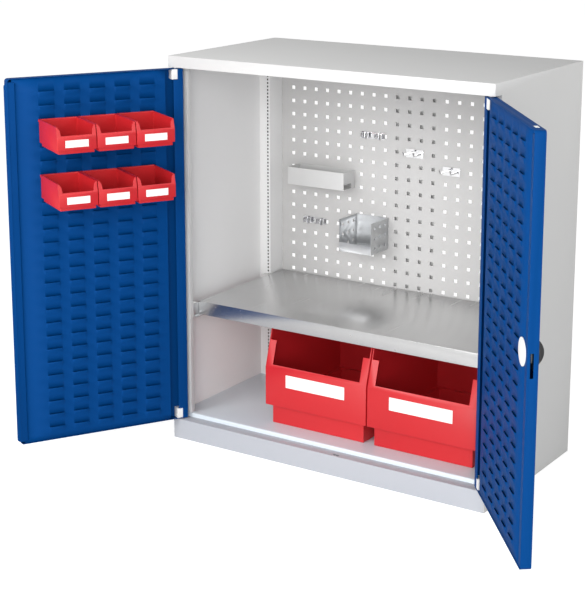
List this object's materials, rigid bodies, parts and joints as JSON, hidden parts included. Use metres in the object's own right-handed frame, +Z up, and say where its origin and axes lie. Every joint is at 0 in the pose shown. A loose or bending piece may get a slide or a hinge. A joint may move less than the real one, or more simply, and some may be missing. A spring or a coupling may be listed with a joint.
{
  "type": "tool cabinet with doors",
  "caption": "Steel tool cabinet with two louvred doors, a perforated rear wall, a shelf, hook-on small bins, large storage bins and a turning handle that works lock rods.",
  "frame": {"origin": "on the floor, in the middle of the plinth's front foot, under the hinge line of the doors", "axes": "+X to the right seen from the front, -Y out of the front, +Z up"},
  "size_m": [1.4557, 0.9002, 1.055],
  "materials": {
    "light_grey_enamel": "smooth satin powder coat",
    "blue_enamel": "satin powder coat",
    "galvanised_steel": "galvanised, fine long streaks",
    "zinc_steel": "bright zinc plating",
    "chromed_steel": "polished",
    "red_plastic": "moulded, semi-gloss",
    "white_plastic": "moulded",
    "black_plastic": "fine grained",
    "paper": "plain card"
  },
  "bodies": {
    "cabinet": {"box_holder": "zinc_steel", "floor_panel": "light_grey_enamel", "left_double_hook": "chromed_steel", "left_front_post": "light_grey_enamel", "left_hinge_pins": "zinc_steel", "left_rear_post": "light_grey_enamel", "left_side_panel": "light_grey_enamel", "lower_rear_panel": "light_grey_enamel", "lower_tool_clip": "chromed_steel", "perforated_wall": "light_grey_enamel", "plinth": "light_grey_enamel", "right_double_hook": "chromed_steel", "right_front_post": "light_grey_enamel", "right_hinge_pins": "zinc_steel", "right_rear_post": "light_grey_enamel", "right_side_panel": "light_grey_enamel", "shelf_clips": "white_plastic", "shelf_supports": "zinc_steel", "tool_tray": "light_grey_enamel", "top_panel": "light_grey_enamel", "upper_tool_clip": "chromed_steel", "wall_stiffener": "light_grey_enamel"},
    "shelf": {"shelf": "galvanised_steel"},
    "left_door": {"left_door_skin": "blue_enamel", "left_louvred_panel": "blue_enamel", "left_hinge_bushes": "white_plastic", "meeting_strip": "blue_enamel"},
    "right_door": {"right_door_skin": "blue_enamel", "right_louvred_panel": "blue_enamel", "right_hinge_bushes": "white_plastic", "handle_rose": "black_plastic", "rod_guides": "white_plastic", "lock_plate": "zinc_steel", "inner_cover": "white_plastic"},
    "handle": {"turning_handle": "black_plastic", "spindle": "zinc_steel", "latch_cam": "zinc_steel"},
    "lock_barrel": {"lock_cylinder": "chromed_steel"},
    "upper_rod": {"upper_lock_rod": "zinc_steel"},
    "lower_rod": {"lower_lock_rod": "zinc_steel"},
    "small_bin_1": {"small_bin_1": "red_plastic", "small_label_1": "paper"},
    "small_bin_2": {"small_bin_2": "red_plastic", "small_label_2": "paper"},
    "small_bin_3": {"small_bin_3": "red_plastic", "small_label_3": "paper"},
    "small_bin_4": {"small_bin_4": "red_plastic", "small_label_4": "paper"},
    "small_bin_5": {"small_bin_5": "red_plastic", "small_label_5": "paper"},
    "small_bin_6": {"small_bin_6": "red_plastic", "small_label_6": "paper"},
    "large_bin_1": {"large_bin_1": "red_plastic", "large_label_1": "paper"},
    "large_bin_2": {"large_bin_2": "red_plastic", "large_label_2": "paper"}
  },
  "joints": [
    {"name": "left_door_swing", "type": "hinge", "parent": "cabinet", "child": "left_door", "pos_m": [-0.459, 0, 0.54], "axis": [0, 0, -1], "range_deg": [-120, 15]},
    {"name": "right_door_swing", "type": "hinge", "parent": "cabinet", "child": "right_door", "pos_m": [0.459, 0, 0.54], "axis": [0, 0, 1], "range_deg": [-129, 6]},
    {"name": "handle_turn", "type": "hinge", "parent": "right_door", "child": "handle", "pos_m": [0.72988, -0.31465, 0.54], "axis": [-0.7771, -0.6293, 0], "range_deg": [0, 90]},
    {"name": "key_turn", "type": "hinge", "parent": "handle", "child": "lock_barrel", "pos_m": [0.72988, -0.31465, 0.54], "axis": [-0.7771, -0.6293, 0], "range_deg": [0, 90]},
    {"name": "upper_rod_slide", "type": "slide", "parent": "right_door", "child": "upper_rod", "axis": [0, 0, 1], "range_m": [0, 0.0254]},
    {"name": "lower_rod_slide", "type": "slide", "parent": "right_door", "child": "lower_rod", "axis": [0, 0, -1], "range_m": [0, 0.0254]},
    {"name": "shelf_lift", "type": "slide", "parent": "cabinet", "child": "shelf", "axis": [0, 0, 1], "range_m": [0, 0.04]},
    {"name": "small_bin_1_lift", "type": "slide", "parent": "left_door", "child": "small_bin_1", "axis": [0, 0, 1], "range_m": [0, 0.015]},
    {"name": "small_bin_2_lift", "type": "slide", "parent": "left_door", "child": "small_bin_2", "axis": [0, 0, 1], "range_m": [0, 0.015]},
    {"name": "small_bin_3_lift", "type": "slide", "parent": "left_door", "child": "small_bin_3", "axis": [0, 0, 1], "range_m": [0, 0.015]},
    {"name": "small_bin_4_lift", "type": "slide", "parent": "left_door", "child": "small_bin_4", "axis": [0, 0, 1], "range_m": [0, 0.015]},
    {"name": "small_bin_5_lift", "type": "slide", "parent": "left_door", "child": "small_bin_5", "axis": [0, 0, 1], "range_m": [0, 0.015]},
    {"name": "small_bin_6_lift", "type": "slide", "parent": "left_door", "child": "small_bin_6", "axis": [0, 0, 1], "range_m": [0, 0.015]},
    {"name": "large_bin_1_pull", "type": "slide", "parent": "cabinet", "child": "large_bin_1", "axis": [0, -1, 0], "range_m": [0, 0.25]},
    {"name": "large_bin_2_pull", "type": "slide", "parent": "cabinet", "child": "large_bin_2", "axis": [0, -1, 0], "range_m": [0, 0.25]}
  ],
  "couplings": [
    {"joint": "handle_turn", "follows": "upper_rod_slide", "rad_per_m": 61.7},
    {"joint": "lower_rod_slide", "follows": "upper_rod_slide", "ratio": 1}
  ]
}
